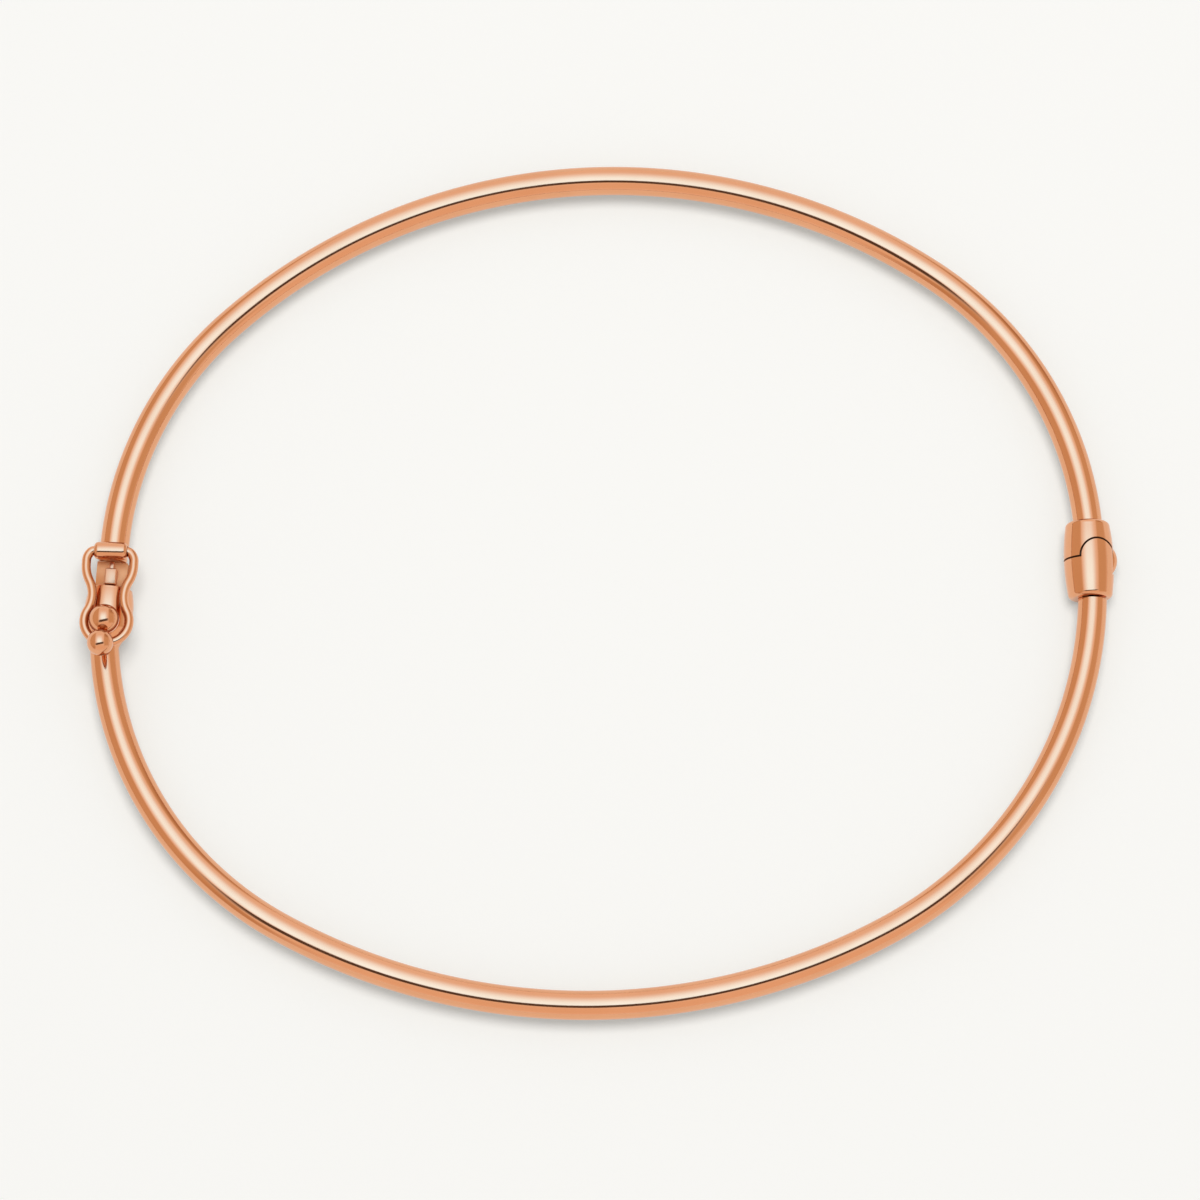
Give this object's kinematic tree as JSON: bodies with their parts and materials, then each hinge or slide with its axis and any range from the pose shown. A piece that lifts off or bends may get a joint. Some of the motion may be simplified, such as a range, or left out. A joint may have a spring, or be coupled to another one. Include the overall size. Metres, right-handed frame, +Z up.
{
  "type": "hinged bangle",
  "caption": "Slim round tube bangle that opens on a barrel hinge and closes with a tongue clasp and a figure-8 safety catch.",
  "frame": {"origin": "under the middle of the bangle, on the surface that it lies on", "axes": "+X from the clasp to the hinge, +Y from the lower arm to the upper arm, +Z up through the wrist opening"},
  "size_m": [0.0679, 0.0576, 0.0054],
  "materials": {
    "rose_gold": "polished"
  },
  "bodies": {
    "upper_half": {"upper_arm": "rose_gold", "spring_tongue": "rose_gold"},
    "lower_half": {"lower_arm": "rose_gold", "hinge_pin": "rose_gold"},
    "catch": {"catch_loop": "rose_gold"},
    "thumb": {"thumb_leaf": "rose_gold"}
  },
  "joints": [
    {"name": "main_hinge", "type": "hinge", "parent": "upper_half", "child": "lower_half", "pos_m": [0.03273, 0.00167, 0.00164], "axis": [0, 0, 1], "range_deg": [0, 60]},
    {"name": "catch_swing", "type": "hinge", "parent": "upper_half", "child": "catch", "pos_m": [-0.03185, 0.00196, 0.0031], "axis": [-0.9994, 0.0339, 0], "range_deg": [0, 160]},
    {"name": "thumb_press", "type": "hinge", "parent": "upper_half", "child": "thumb", "pos_m": [-0.03218, -0.00197, 0.00222], "axis": [-0.9974, 0.0725, 0], "range_deg": [0, 8], "stiffness_Nm_per_rad": 0.01}
  ]
}
